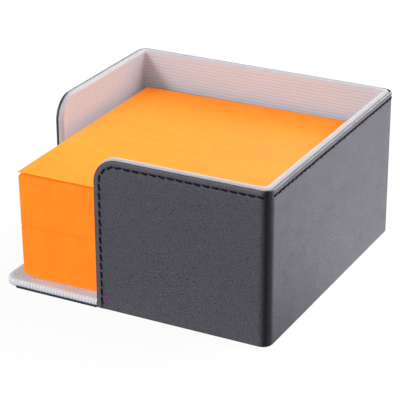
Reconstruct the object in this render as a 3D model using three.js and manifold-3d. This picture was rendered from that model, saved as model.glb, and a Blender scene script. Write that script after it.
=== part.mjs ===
// Leather note holder: an open square tray for a block of loose notes. One front corner is cut away,
// so that finger and thumb can take the paper. Millimetres, +Z up. The origin is the middle of the
// footprint, on the surface that the holder stands on. The front is at -Y, and the cut-away corner is
// where -X and -Y meet.
//
// The walls are built as they are made. Each layer is cut as a flat strip, with its free edges rolled
// and its seam sewn, and the strip is then folded round the three full corners.

import * as THREE from 'three';
import { mergeVertices } from 'three/addons/utils/BufferGeometryUtils.js';
import Module from 'manifold-3d';

const wasm = await Module();
wasm.setup();

// Overall size and the cut-away
const holder_width = 101;
const holder_depth = 101;
const holder_height = 53.5;
const outer_corner_radius = 3.5;
const tightest_fold_radius = 1;
const front_cutaway = 38.6; // from the left face to the free end of the front wall
const left_cutaway = 39.5; // from the front face to the free end of the left wall
const free_corner_radius = 8.5; // top corners of the two free ends

// Layers of the walls from the outside in, and of the base from the bottom up
const glue_line = 0.1;
const wrap_thickness = 0.8;
const wall_board_thickness = 1.5;
const wall_lining_thickness = 0.8;
const base_leather_thickness = 0.6;
const base_board_thickness = 1.5;
const base_lining_thickness = 0.7;

// Rolled edges of the walls
const wrap_edge_drop = 0.25; // the leather stops this much short of the lining's roll
const wrap_edge_round = 0.35;
const wrap_heel_radius = 1.8; // bottom corners of the leather at the free ends
const lining_roll_thickness = 0.7; // cloth over the edge of a board
const lining_roll_round = 1;

// Free edges of the base in the cut-away
const base_left_setback = 2; // from the left face to the base's free left edge
const base_corner_radius = 5;
const base_edge_round = 0.75;
const base_hem = 4.6; // width of the lining turned under the left edge, up to the leather
const base_leather_corner_radius = 1.2;

// Seam along the free edges of the leather
const seam_inset = 2.2;
const seam_start_height = 1.4;
const stitch_pitch = 3.15;
const thread_radius = 0.2;
const thread_wave = 0.06; // how far the thread sinks and rises about its middle
const thread_clearance = 0.05;

// Paper
const pad_right_clearance = 0.3;
const pad_left_clearance = 4.1;
const pad_front_clearance = 0.9;
const pad_back_clearance = 3.5;
const lower_pad_height = 19;
const upper_pad_height = 18.8;
const loose_sheet_gap = 0.3;
const loose_sheet_thickness = 0.2;
const loose_sheet_shift = 0.3; // to the left and to the front of the pads

const mitre_gap = 0.3; // between two wall boards, along the fold
const cut_overrun = 2; // how far a cutting shape runs past what it cuts
const weld_tolerance = 1e-4;
const largest_round_share = 0.48; // of a plate's thickness, for a rounded edge

const arc_segments = 6; // in a quarter turn
const round_segments = 3;
const thread_sides = 5;
const thread_steps_per_stitch = 2;

// Depths in a wall and heights in the base, worked out from the layers
const board_depth = wrap_thickness + glue_line;
const lining_depth = board_depth + wall_board_thickness + glue_line;
const wall_thickness = lining_depth + wall_lining_thickness;
const board_inset = lining_roll_thickness + glue_line;
const base_board_top = base_leather_thickness + base_board_thickness;
const base_top = base_board_top + base_lining_thickness;
const thread_depth = thread_radius + thread_wave;
const half_groove = thread_radius + thread_clearance;

// The footprint
const right = holder_width / 2;
const left = -right;
const back = holder_depth / 2;
const front = -back;
const front_wall_end = left + front_cutaway;
const left_wall_end = front + left_cutaway;
const base_left = left + base_left_setback;
const base_board_left = base_left + base_lining_thickness;
const base_front = front + board_depth - base_lining_thickness;
const base_leather_left = base_left + base_hem;

// The angles of a rounded quarter turn.
const quarter_turn = Array.from({ length: arc_segments + 1 }, (_, step) =>
  step / arc_segments * Math.PI / 2);

const finishes = {
  leather: { color: 0x504e58, roughness: 0.55 },
  greyboard: { color: 0x9c917f, roughness: 0.95 },
  ribbed_cloth: { color: 0xdedbe0, roughness: 0.95 },
  waxed_thread: { color: 0x1c1820, roughness: 0.7 },
  paper: { color: 0xff8c28, roughness: 0.9 },
};

const holder = new THREE.Group();

function add_piece(name, geometry, finish) {
  geometry.computeVertexNormals();
  const material = new THREE.MeshStandardMaterial({ ...finishes[finish], metalness: 0 });
  const mesh = new THREE.Mesh(geometry, material);
  mesh.name = name;
  holder.add(mesh);
}

// A closed geometry as a solid, which can be cut and joined.
function solid(geometry) {
  geometry.deleteAttribute('normal');
  geometry.deleteAttribute('uv');
  const { attributes, index } = mergeVertices(geometry, weld_tolerance);
  const vertProperties = new Float32Array(attributes.position.array);
  const triVerts = new Uint32Array(index.array);
  return new wasm.Manifold(new wasm.Mesh({ numProp: 3, vertProperties, triVerts }));
}

// The geometry of a solid that has been cut and joined.
function surface(shape) {
  const { vertProperties, triVerts } = shape.getMesh();
  const geometry = new THREE.BufferGeometry();
  geometry.setAttribute('position', new THREE.BufferAttribute(vertProperties, 3));
  geometry.setIndex(new THREE.BufferAttribute(triVerts, 1));
  return geometry;
}

// A closed outline through square corners [x, y, radius], anticlockwise. A corner with no radius
// stays sharp.
function rounded_outline(corners) {
  const places = corners.map(([x, y]) => new THREE.Vector2(x, y));
  const points = corners.flatMap(([, , radius = 0], at) => {
    if (radius <= 0) return [places[at]];
    const to_last = places.at(at - 1).clone().sub(places[at]).setLength(radius);
    const to_next = places[(at + 1) % places.length].clone().sub(places[at]).setLength(radius);
    const centre = places[at].clone().add(to_last).add(to_next);
    return quarter_turn.map((turn) => centre.clone()
      .addScaledVector(to_next, -Math.cos(turn))
      .addScaledVector(to_last, -Math.sin(turn)));
  });
  return new THREE.Shape(points);
}

// An outline raised from 0 to a height, with its upper and lower edges rounded.
function raised(outline, height, largest_round = 0) {
  const round = Math.min(largest_round, largest_round_share * height);
  return new THREE.ExtrudeGeometry(outline, {
    depth: height - 2 * round,
    bevelEnabled: round > 0,
    bevelThickness: round,
    bevelSize: round,
    bevelOffset: -round,
    bevelSegments: round_segments,
  }).translate(0, 0, round);
}

// A plate of the base, between two heights.
function base_plate(outline, bottom, top, round) {
  return solid(raised(outline, top - bottom, round).translate(0, 0, bottom));
}

// A plate of the flat strip, between two depths. In the flat strip X is the distance along the walls,
// Y is the depth from their outer face, and Z is the height.
function strip_plate(outline, outer_depth, inner_depth, round) {
  const plate = raised(outline, inner_depth - outer_depth, round);
  return solid(plate.rotateX(Math.PI / 2).translate(0, inner_depth, 0));
}

// The strip runs along the front wall from its free end, round the right and the back walls, and
// along the left wall to its free end: four straight runs, joined by three folds.
const headings = [[1, 0], [0, 1], [-1, 0], [0, -1]].map(([x, y]) => new THREE.Vector2(x, y));
const full_corners = [[right, front], [right, back], [left, back]].map(([x, y]) => new THREE.Vector2(x, y));
const run_lengths = [
  holder_width - front_cutaway - outer_corner_radius,
  holder_depth - 2 * outer_corner_radius,
  holder_width - 2 * outer_corner_radius,
  holder_depth - left_cutaway - outer_corner_radius,
];
const fold_length = outer_corner_radius * Math.PI / 2;
const fold_starts = full_corners.map((_, fold) =>
  run_lengths.slice(0, fold + 1).reduce((total, length) => total + length) + fold * fold_length);
const strip_length = fold_starts.at(-1) + fold_length + run_lengths.at(-1);

function inward(run) {
  return new THREE.Vector2(-headings[run].y, headings[run].x);
}

// The radius that a layer is folded to, at a depth in the wall.
function fold_radius(depth) {
  return Math.max(outer_corner_radius - depth, tightest_fold_radius);
}

function folded_place(fold, turn, depth) {
  const radius = fold_radius(depth);
  const heading = headings[fold];
  const centre = full_corners[fold].clone()
    .addScaledVector(heading, -depth - radius)
    .addScaledVector(inward(fold), depth + radius);
  return centre
    .addScaledVector(inward(fold), -radius * Math.cos(turn))
    .addScaledVector(heading, radius * Math.sin(turn));
}

// Stations along the strip: its two ends, and the lines that each fold turns on. Between two of them
// a layer is flat, so layers at different depths lie parallel.
const stations = [
  { at: 0, end: true, place: (depth) => new THREE.Vector2(front_wall_end, front + depth) },
  ...fold_starts.flatMap((start, fold) => quarter_turn.map((turn) => ({
    at: start + turn * outer_corner_radius,
    place: (depth) => folded_place(fold, turn, depth),
  }))),
  { at: strip_length, end: true, place: (depth) => new THREE.Vector2(left + depth, left_wall_end) },
];

// The triangles of a piece of the flat strip between two stations, without the faces of the cuts.
function length_between(strip, from, to) {
  const reach_in = wall_thickness + cut_overrun;
  const reach_up = holder_height + cut_overrun;
  const slice = new THREE.BoxGeometry(to.at - from.at, 2 * reach_in, 2 * reach_up);
  slice.translate((from.at + to.at) / 2, 0, 0);
  const { vertProperties, triVerts } = strip.intersect(solid(slice)).getMesh();
  const corners = Array.from(triVerts, (at) => new THREE.Vector3().fromArray(vertProperties, 3 * at));
  const triangles = Array.from({ length: corners.length / 3 }, (_, triangle) =>
    corners.slice(3 * triangle, 3 * triangle + 3));
  const cuts = [from, to].filter(({ end }) => !end);
  return triangles.filter((triangle) => !cuts.some(({ at }) =>
    triangle.every(({ x }) => Math.abs(x - at) < weld_tolerance)));
}

// A piece of the flat strip, folded round the corners. It is cut at every station, each length is
// moved to its place, and the lengths are joined again.
function folded(strip) {
  const places = stations.slice(1).flatMap((to, number) => {
    const from = stations[number];
    return length_between(strip, from, to).flat().flatMap(({ x: along, y: depth, z: height }) => {
      const place = from.place(depth).lerp(to.place(depth), (along - from.at) / (to.at - from.at));
      return [place.x, place.y, height];
    });
  });
  const geometry = new THREE.BufferGeometry();
  geometry.setAttribute('position', new THREE.Float32BufferAttribute(places, 3));
  return mergeVertices(geometry, weld_tolerance);
}

// The outline of a wall layer in the flat strip, set in from the free edges.
function wall_outline(inset, bottom, heel_radius = 0) {
  return rounded_outline([
    [inset, bottom, heel_radius],
    [strip_length - inset, bottom, heel_radius],
    [strip_length - inset, holder_height - inset, free_corner_radius - inset],
    [inset, holder_height - inset, free_corner_radius - inset],
  ]);
}

// Base board, and the leather under it. Each outline can be given a margin all round.

function base_board_outline(margin = 0) {
  const [low_x, high_x] = [left + board_depth - margin, right - board_depth + margin];
  const [low_y, high_y] = [front + board_depth - margin, back - board_depth + margin];
  const radius = fold_radius(board_depth) + margin;
  return rounded_outline([
    [base_board_left - margin, low_y, base_corner_radius - base_lining_thickness + margin],
    [high_x, low_y, radius],
    [high_x, high_y, radius],
    [low_x, high_y, radius],
    [low_x, left_wall_end - margin],
    [base_board_left - margin, left_wall_end - margin],
  ]);
}

function base_leather_outline(margin = 0) {
  const [low_x, high_x] = [left + board_depth - margin, right - board_depth + margin];
  const [low_y, high_y] = [front + board_depth - margin, back - board_depth + margin];
  const radius = fold_radius(board_depth) + margin;
  return rounded_outline([
    [base_leather_left - margin, front - margin, base_leather_corner_radius + margin],
    [front_wall_end - glue_line + margin, front - margin],
    [front_wall_end - glue_line + margin, low_y],
    [high_x, low_y, radius],
    [high_x, high_y, radius],
    [low_x, high_y, radius],
    [low_x, left_wall_end - margin],
    [base_leather_left - margin, left_wall_end - margin],
  ]);
}

function base_board() {
  return surface(base_plate(base_board_outline(), base_leather_thickness, base_board_top));
}

function base_leather() {
  return surface(base_plate(base_leather_outline(), 0, base_leather_thickness));
}

// Base lining: a sheet on the base board, folded down over the front edge and turned under the left
// edge in the cut-away. It lies between the linings of the walls.
function base_lining() {
  const cloth = base_plate(rounded_outline([
    [base_left, base_front, base_corner_radius],
    [right, base_front],
    [right, back],
    [base_left, back],
  ]), glue_line, base_top, base_edge_round);
  const cutaway = base_plate(rounded_outline([
    [left, front],
    [front_wall_end - glue_line, front],
    [front_wall_end - glue_line, left_wall_end - glue_line],
    [left, left_wall_end - glue_line],
  ]), 0, base_top + cut_overrun);
  const between = wall_thickness + glue_line;
  const tray = base_plate(rounded_outline([
    [left + between, front + between],
    [right - between, front + between, fold_radius(between)],
    [right - between, back - between, fold_radius(between)],
    [left + between, back - between, fold_radius(between)],
  ]), 0, base_top + cut_overrun);
  const board_pocket = base_plate(base_board_outline(glue_line), base_leather_thickness, base_board_top);
  const leather_pocket = base_plate(base_leather_outline(glue_line), 0, base_leather_thickness);
  return surface(cloth.intersect(cutaway.add(tray)).subtract(board_pocket.add(leather_pocket)));
}

// Wall boards: they stand on the base board and meet in mitres inside the folds.
function wall_board(run) {
  const middle = (fold) => fold_starts[fold] + fold_length / 2;
  const start = run > 0 ? middle(run - 1) + mitre_gap / 2 : board_inset;
  const end = run < full_corners.length ? middle(run) - mitre_gap / 2 : strip_length - board_inset;
  const top = holder_height - board_inset;
  const radius = free_corner_radius - board_inset;
  const outline = rounded_outline([
    [start, base_board_top],
    [end, base_board_top],
    [end, top, run === full_corners.length ? radius : 0],
    [start, top, run === 0 ? radius : 0],
  ]);
  return folded(strip_plate(outline, board_depth, board_depth + wall_board_thickness));
}

// Outer leather: one strip with rolled edges, and a groove that the seam is sunk in.
function leather_wrap() {
  const outline = wall_outline(wrap_edge_drop, 0, wrap_heel_radius);
  const strip = strip_plate(outline, 0, wrap_thickness, wrap_edge_round);
  const groove_floor = thread_depth + thread_wave + half_groove;
  const groove_end = seam_start_height - half_groove;
  const [outside, inside] = [
    wall_outline(seam_inset - half_groove, groove_end),
    wall_outline(seam_inset + half_groove, 0),
  ].map((edge) => strip_plate(edge, -cut_overrun, groove_floor));
  return folded(strip.subtract(outside.subtract(inside)));
}

// Wall lining: one strip of cloth inside the boards, rolled over their tops and free ends.
function wall_lining() {
  const bottom = base_board_top - cut_overrun;
  const strip = strip_plate(wall_outline(0, bottom), board_depth, wall_thickness, lining_roll_round);
  const pocket = strip_plate(wall_outline(lining_roll_thickness, bottom - cut_overrun), 0, lining_depth);
  const foot = strip_plate(rounded_outline([
    [-cut_overrun, bottom - cut_overrun],
    [strip_length + cut_overrun, bottom - cut_overrun],
    [strip_length + cut_overrun, base_board_top],
    [-cut_overrun, base_board_top],
  ]), 0, wall_thickness + cut_overrun);
  return folded(strip.subtract(pocket).subtract(foot));
}

// Seam thread: one line of stitches, sinking and rising in its groove.
function seam_thread() {
  const line = new THREE.Path();
  const top = holder_height - free_corner_radius;
  const radius = free_corner_radius - seam_inset;
  line.moveTo(seam_inset, seam_start_height);
  line.lineTo(seam_inset, top);
  line.absarc(free_corner_radius, top, radius, Math.PI, Math.PI / 2, true);
  line.lineTo(strip_length - free_corner_radius, holder_height - seam_inset);
  line.absarc(strip_length - free_corner_radius, top, radius, Math.PI / 2, 0, true);
  line.lineTo(strip_length - seam_inset, seam_start_height);
  const stitches = Math.round(line.getLength() / stitch_pitch);
  const steps = stitches * thread_steps_per_stitch;
  const sewn = new THREE.Curve();
  sewn.arcLengthDivisions = steps * thread_steps_per_stitch;
  sewn.getPoint = (share) => {
    const { x: along, y: height } = line.getPoint(share);
    const depth = thread_depth - thread_wave * Math.cos(share * stitches * 2 * Math.PI);
    return new THREE.Vector3(along, depth, height);
  };
  const section = new THREE.Shape(Array.from({ length: thread_sides }, (_, side) => {
    const turn = side / thread_sides * 2 * Math.PI;
    return new THREE.Vector2(Math.cos(turn), Math.sin(turn)).multiplyScalar(thread_radius);
  }));
  const thread = new THREE.ExtrudeGeometry(section, { steps, extrudePath: sewn });
  return folded(solid(thread));
}

// Paper: two glued pads, and a loose sheet on top that has slipped a little.
const pad_width = holder_width - 2 * wall_thickness - pad_left_clearance - pad_right_clearance;
const pad_depth = holder_depth - 2 * wall_thickness - pad_front_clearance - pad_back_clearance;
const pad_middle_x = right - wall_thickness - pad_right_clearance - pad_width / 2;
const pad_middle_y = front + wall_thickness + pad_front_clearance + pad_depth / 2;
const upper_pad_bottom = base_top + lower_pad_height;
const loose_sheet_bottom = upper_pad_bottom + upper_pad_height + loose_sheet_gap;

function paper(bottom, height, shift = 0) {
  const stack = new THREE.BoxGeometry(pad_width, pad_depth, height);
  return stack.translate(pad_middle_x - shift, pad_middle_y - shift, bottom + height / 2);
}

add_piece('base_leather', base_leather(), 'leather');
add_piece('base_board', base_board(), 'greyboard');
add_piece('base_lining', base_lining(), 'ribbed_cloth');
['front_board', 'right_board', 'back_board', 'left_board'].forEach((name, run) => {
  add_piece(name, wall_board(run), 'greyboard');
});
add_piece('leather_wrap', leather_wrap(), 'leather');
add_piece('wall_lining', wall_lining(), 'ribbed_cloth');
add_piece('seam_thread', seam_thread(), 'waxed_thread');
add_piece('lower_note_pad', paper(base_top, lower_pad_height), 'paper');
add_piece('upper_note_pad', paper(upper_pad_bottom, upper_pad_height), 'paper');
add_piece('loose_top_sheet', paper(loose_sheet_bottom, loose_sheet_thickness, loose_sheet_shift), 'paper');

export default holder;
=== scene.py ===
"""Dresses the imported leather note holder: cover, seam, linings, paper and a plain studio stage."""

import math
from functools import partial

import bpy
import numpy as np
from bpy.props import FloatProperty, FloatVectorProperty, PointerProperty
from mathutils import Matrix, Vector


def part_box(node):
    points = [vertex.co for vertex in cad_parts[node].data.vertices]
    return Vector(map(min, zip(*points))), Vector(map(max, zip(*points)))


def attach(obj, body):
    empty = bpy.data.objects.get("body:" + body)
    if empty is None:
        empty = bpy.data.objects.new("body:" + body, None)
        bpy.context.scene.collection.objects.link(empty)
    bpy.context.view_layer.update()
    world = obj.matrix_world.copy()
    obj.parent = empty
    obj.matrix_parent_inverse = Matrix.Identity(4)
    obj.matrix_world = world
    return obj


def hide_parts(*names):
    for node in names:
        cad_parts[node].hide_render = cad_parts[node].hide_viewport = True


bl_info = {
    "name": "Leather note holder",
    "version": (1, 0, 0),
    "blender": (4, 5, 0),
    "location": "View3D > Sidebar > Note holder",
    "description": "Builds the visible pieces of a leather note holder around its packed frame",
    "category": "Object",
}

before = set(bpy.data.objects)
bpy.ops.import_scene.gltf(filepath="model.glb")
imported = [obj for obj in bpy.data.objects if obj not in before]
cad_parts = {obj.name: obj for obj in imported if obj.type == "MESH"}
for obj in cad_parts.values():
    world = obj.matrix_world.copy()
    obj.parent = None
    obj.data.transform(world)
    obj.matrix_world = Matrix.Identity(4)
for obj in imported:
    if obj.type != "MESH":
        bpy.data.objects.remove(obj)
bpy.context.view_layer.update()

MM = 0.001


def linear(hex_colour):
    """A colour written as sRGB hex, as the linear colour that Blender's sockets take."""
    parts = [int(hex_colour[at:at + 2], 16) / 255 for at in (1, 3, 5)]
    return [part / 12.92 if part <= 0.04045 else ((part + 0.055) / 1.055) ** 2.4 for part in parts] + [1.0]


def length(name, description, millimetres):
    """A property for a length, given in millimetres and kept in metres."""
    return FloatProperty(name=name, description=description, default=millimetres * MM,
                         min=0.0, unit="LENGTH", precision=5)


def colour(name, description, hex_colour):
    """A property for a colour, given as sRGB hex."""
    return FloatVectorProperty(name=name, description=description, default=linear(hex_colour),
                               size=4, min=0.0, max=1.0, subtype="COLOR")


# The strip that the walls are made of, as in the CAD: it starts at the free end of the front wall,
# runs round the right and the back walls, and ends at the free end of the left wall.
cover_low, cover_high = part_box("leather_wrap")
wall_foot, rim_height = (corner.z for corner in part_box("wall_lining"))
board_inset = rim_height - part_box("front_board")[1].z
front_wall_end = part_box("front_board")[0].x - board_inset
left_wall_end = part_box("left_board")[0].y - board_inset
board_depth = cover_high.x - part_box("right_board")[1].x
outer_fold_radius = 3.5 * MM
tightest_fold_radius = 1 * MM
free_corner_radius = 8.5 * MM
free_end_height = rim_height - free_corner_radius
wall_thickness = 3.3 * MM

# Places closer than this are one place. The smaller number keeps a divisor from being nought.
near_enough = 0.001 * MM
tiny = 1e-12

width, depth = cover_high.x - cover_low.x, cover_high.y - cover_low.y
headings = np.array([[1, 0], [0, 1], [-1, 0], [0, -1]], float)
inwards = np.array([[0, 1], [-1, 0], [0, -1], [1, 0]], float)
full_corners = np.array([
    [cover_high.x, cover_low.y], [cover_high.x, cover_high.y], [cover_low.x, cover_high.y]])
fold_length = outer_fold_radius * math.pi / 2
run_lengths = [
    cover_high.x - front_wall_end - outer_fold_radius,
    depth - 2 * outer_fold_radius,
    width - 2 * outer_fold_radius,
    cover_high.y - left_wall_end - outer_fold_radius,
]
fold_starts = [sum(run_lengths[:fold + 1]) + fold * fold_length for fold in range(3)]
strip_length = fold_starts[-1] + fold_length + run_lengths[-1]


def fold_place(fold, turn, depths, tightest):
    """Where a layer is, at a depth in the wall, when it has turned by an angle round a corner."""
    radius = np.maximum(outer_fold_radius - depths, tightest)
    offset = (depths + radius)[:, None]
    centre = full_corners[fold] - headings[fold] * offset + inwards[fold] * offset
    return (centre - inwards[fold] * (radius * np.cos(turn))[:, None]
            + headings[fold] * (radius * np.sin(turn))[:, None])


def folded(along, height, depths, tightest=tightest_fold_radius):
    """Points of the flat strip, folded round the three full corners."""
    places = np.zeros((len(along), 2))
    tightest = np.broadcast_to(tightest, along.shape)
    for run in range(4):
        begin = fold_starts[run - 1] + fold_length if run else 0.0
        end = fold_starts[run] if run < 3 else strip_length
        inside = (along >= (begin if run else -math.inf)) & (along <= (end if run < 3 else math.inf))
        deep = depths[inside]
        if run:
            first = fold_place(run - 1, math.pi / 2, deep, tightest[inside])
        else:
            first = np.stack([np.full(len(deep), front_wall_end), cover_low.y + deep], axis=1)
        if run < 3:
            last = fold_place(run, 0.0, deep, tightest[inside])
        else:
            last = np.stack([cover_low.x + deep, np.full(len(deep), left_wall_end)], axis=1)
        share = ((along[inside] - begin) / (end - begin))[:, None]
        places[inside] = first + (last - first) * share
    for fold in range(3):
        turning = (along > fold_starts[fold]) & (along < fold_starts[fold] + fold_length)
        turn = (along[turning] - fold_starts[fold]) / outer_fold_radius
        places[turning] = fold_place(fold, turn, depths[turning], tightest[turning])
    return np.column_stack([places, height])


def smooth_step(low, high, values):
    """From 0 at the low value to 1 at the high one, without a corner at either end."""
    share = np.clip((values - low) / (high - low), 0, 1)
    return share * share * (3 - 2 * share)


def dent(offset, depth, width):
    """A soft dent: its full depth at no offset, and a little over a third of that at its width."""
    return depth * np.exp(-(offset / width) ** 2)


class StripSheet:
    """A sheet of the flat strip with rounded free corners.

    A band of rings follows the free edges, and a square grid fills the field inside it. Guides say
    where each column of the band stands: its anchor, and the direction from there to the edge.
    The grid's lines end at the coarse guides, and finer guides fill the way between two of those.
    """

    def __init__(self, insets, side_heights, corner_levels, top_places, splits):
        inner_radius = free_corner_radius - insets[-1]
        turns = np.arcsin(np.clip((np.array(corner_levels) - free_end_height) / inner_radius, 0, 1))
        sides = [(free_corner_radius, height, math.pi) for height in side_heights]
        corner = [(free_corner_radius, free_end_height, math.pi - turn) for turn in [0.0, *turns]]
        top = [(place, free_end_height, math.pi / 2) for place in top_places]
        mirrored = [(strip_length - place, height, math.pi - angle)
                    for place, height, angle in sides + corner]
        coarse = np.array(sides + corner + top + mirrored[::-1])
        side_split, corner_splits, top_split = splits
        counts = [side_split] * len(sides) + corner_splits + [top_split] * (len(top) + 1)
        counts += corner_splits[::-1] + [side_split] * len(sides)
        guides, firsts = [], []
        for guide, following, count in zip(coarse, coarse[1:], counts):
            firsts.append(len(guides))
            guides += [guide + (following - guide) * step / count for step in range(count)]
        firsts.append(len(guides))
        guides.append(coarse[-1])
        guides, firsts = np.array(guides), np.array(firsts)
        outward = np.column_stack([np.cos(guides[:, 2]), np.sin(guides[:, 2])])
        reach = free_corner_radius - np.array(insets)
        band = guides[:, None, :2] + outward[:, None, :] * reach[None, :, None]
        self.rings = len(insets)
        self.guides = guides
        travelled = guides[:, 1] + seam_turn_radius() * (math.pi - guides[:, 2])
        travelled = travelled + guides[:, 0] - free_corner_radius
        falling = guides[:, 2] <= 0
        travelled[falling] += 2 * (free_end_height - guides[falling, 1])
        points = [band.reshape(-1, 2)]
        self.band_count = len(points[0])
        count = self.band_count
        inner_of = firsts * self.rings + self.rings - 1
        rows, levels = len(sides), len(corner_levels)
        across = band[firsts[rows:len(coarse) - rows], -1, 0]
        up = np.array([*side_heights, free_end_height, *corner_levels])
        columns = len(across)
        ids = -np.ones((columns, len(up)), int)
        for column in range(columns):
            level = min(column, columns - 1 - column, levels)
            top_row = rows + level
            for row in range(top_row + 1):
                if row == top_row:
                    ids[column, row] = inner_of[rows + column]
                elif column == 0:
                    ids[column, row] = inner_of[row]
                elif column == columns - 1:
                    ids[column, row] = inner_of[len(coarse) - 1 - row]
                else:
                    ids[column, row] = count
                    points.append([[across[column], up[row]]])
                    count += 1
        flat = np.concatenate([np.asarray(group, float) for group in points])
        self.along, self.height = flat[:, 0], flat[:, 1]
        self.inset = np.empty(count)
        self.inset[:self.band_count] = np.tile(insets, len(guides))
        field = slice(self.band_count, None)
        self.inset[field] = np.minimum(np.minimum(self.along[field], strip_length - self.along[field]),
                                       rim_height - self.height[field])
        self.travel = np.full(count, -1.0)
        self.travel[:self.band_count] = np.repeat(travelled, self.rings)
        self.faces = self.band_faces(len(guides))
        self.faces += self.field_faces(ids, firsts, len(coarse), rows, levels)
        self.bottom = [*range(self.rings - 1), *ids[:, 0],
                       *range(self.band_count - 2, self.band_count - self.rings - 1, -1)]

    def band_faces(self, guide_count):
        """Faces between the rings of the band."""
        first = (np.arange(guide_count - 1)[:, None] * self.rings + np.arange(self.rings - 1)).ravel()
        return np.column_stack([first, first + 1, first + self.rings + 1, first + self.rings]).tolist()

    def between(self, firsts, low, high):
        """Inner ring points strictly between two coarse guides."""
        return [place * self.rings + self.rings - 1 for place in range(firsts[low] + 1, firsts[high])]

    def field_faces(self, ids, firsts, guide_count, rows, levels):
        """Faces of the grid. Those beside the band take in every point of its inner ring."""
        faces = []
        columns = len(ids)
        for column in range(columns - 1):
            left_level = min(column, columns - 1 - column, levels)
            right_level = min(column + 1, columns - 2 - column, levels)
            shared = rows + min(left_level, right_level)
            edge = rows + column
            for row in range(shared):
                face = [ids[column, row], ids[column + 1, row],
                        ids[column + 1, row + 1], ids[column, row + 1]]
                if column == 0:
                    face += self.between(firsts, row, row + 1)[::-1]
                if column == columns - 2:
                    face[2:2] = self.between(firsts, guide_count - 2 - row, guide_count - 1 - row)[::-1]
                if row == shared - 1 and left_level == right_level:
                    at = face.index(ids[column + 1, row + 1]) + 1
                    face[at:at] = self.between(firsts, edge, edge + 1)[::-1]
                faces.append(face)
            arc = self.between(firsts, edge, edge + 1)[::-1]
            if right_level > left_level:
                faces.append([ids[column, shared], ids[column + 1, shared],
                              ids[column + 1, shared + 1], *arc])
            elif left_level > right_level:
                faces.append([ids[column, shared], ids[column + 1, shared], *arc, ids[column, shared + 1]])
        return faces

    def border(self):
        """The sheet's outline as point numbers, clockwise from its lower left corner."""
        up_and_over = list(range(0, self.band_count, self.rings))
        back = self.bottom[::-1][1:-1]
        return up_and_over + [point for point in back if point not in (0, up_and_over[-1])]


def seam_turn_radius():
    """Radius of the seam where it goes round a free corner."""
    return free_corner_radius - bpy.context.scene.holder_sizes.seam_inset


def seam_length():
    """The whole way along the seam, up one free end, over the rim and down the other end."""
    return 2 * free_end_height + seam_turn_radius() * math.pi + strip_length - 2 * free_corner_radius


def seam_travel(along):
    """The way along the seam to a place on the rim."""
    return free_end_height + seam_turn_radius() * math.pi / 2 + along - free_corner_radius


def seam_guide(travel, inset):
    """Flat places on a line that runs at an inset from the free edges, by the way along the seam."""
    radius = seam_turn_radius()
    arc = radius * math.pi / 2
    top = strip_length - 2 * free_corner_radius
    over = free_end_height + 2 * arc + top
    anchor_x = free_corner_radius + np.clip(travel - free_end_height - arc, 0, top)
    anchor_y = np.where(travel > over, free_end_height - (travel - over), np.minimum(travel, free_end_height))
    angle = math.pi - np.clip(travel - free_end_height, 0, arc) / radius
    angle = angle - np.clip(travel - free_end_height - arc - top, 0, arc) / radius
    reach = free_corner_radius - inset
    return anchor_x + reach * np.cos(angle), anchor_y + reach * np.sin(angle)


def rounded_corner(across, up, radius):
    """Turns a square corner at 0, 0 into a round one. Points beyond the radius stay."""
    toward_x, toward_y = 1 - across / radius, 1 - up / radius
    inside = (toward_x > 0) & (toward_y > 0)
    reach = np.maximum(toward_x, toward_y)
    small = np.minimum(toward_x, toward_y)
    angle = np.where(reach > 0, small / np.maximum(reach, tiny), 0) * math.pi / 4
    angle = np.where(toward_x >= toward_y, angle, math.pi / 2 - angle)
    return (np.where(inside, radius * (1 - reach * np.cos(angle)), across),
            np.where(inside, radius * (1 - reach * np.sin(angle)), up))


def rounded_outline(corners):
    """A closed outline, counter-clockwise, with each corner rounded to its radius."""
    outline = []
    for number, (x, y, radius) in enumerate(corners):
        corner = np.array([x, y])
        if radius == 0:
            outline.append(corner)
            continue
        before, after = (np.array(corners[(number + step) % len(corners)][:2]) - corner
                         for step in (-1, 1))
        before, after = before / np.linalg.norm(before), after / np.linalg.norm(after)
        centre = corner + radius * (before + after)
        for turn in np.linspace(0, math.pi / 2, 7):
            outline.append(centre - radius * (after * math.cos(turn) + before * math.sin(turn)))
    return np.array(outline)


def stations(low, high, step):
    """Places from low to high, evenly spaced, about a step apart."""
    return list(np.linspace(low, high, max(int(round((high - low) / step)), 1) + 1))


# Materials


def add_node(tree, kind, inputs, output=0):
    """Adds a node and gives one of its outputs. Each entry sets an option or an input, or links it."""
    node = tree.nodes.new("ShaderNode" + kind)
    for name, value in inputs.items():
        if isinstance(value, bpy.types.NodeSocket):
            tree.links.new(value, node.inputs[name])
        elif isinstance(name, str) and hasattr(node, name):
            setattr(node, name, value)
        else:
            node.inputs[name].default_value = value
    return node.outputs[output] if node.outputs else None


def new_material(name):
    """An empty material: it, what adds a node to it, and the place on the piece that patterns go by."""
    material = bpy.data.materials.new(name)
    material.use_nodes = True
    material.node_tree.nodes.clear()
    add = partial(add_node, material.node_tree)
    return material, add, add("TexCoord", {}, "Object")


def blend(add, factor, first, second):
    """A mix of two colours: the first where the factor is 0, and the second where it is 1.

    A Mix node's sockets share their names, so they go by number. Here 0 is the factor, 6 and 7 are
    the colours, and output 2 is the mix. For plain numbers they are 0, 2, 3 and output 0.
    """
    return add("Mix", {"data_type": "RGBA", 0: factor, 6: first, 7: second}, 2)


def darker(colour, share):
    """A share of a colour's light."""
    return [part * share for part in colour[:3]] + [1.0]


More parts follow.
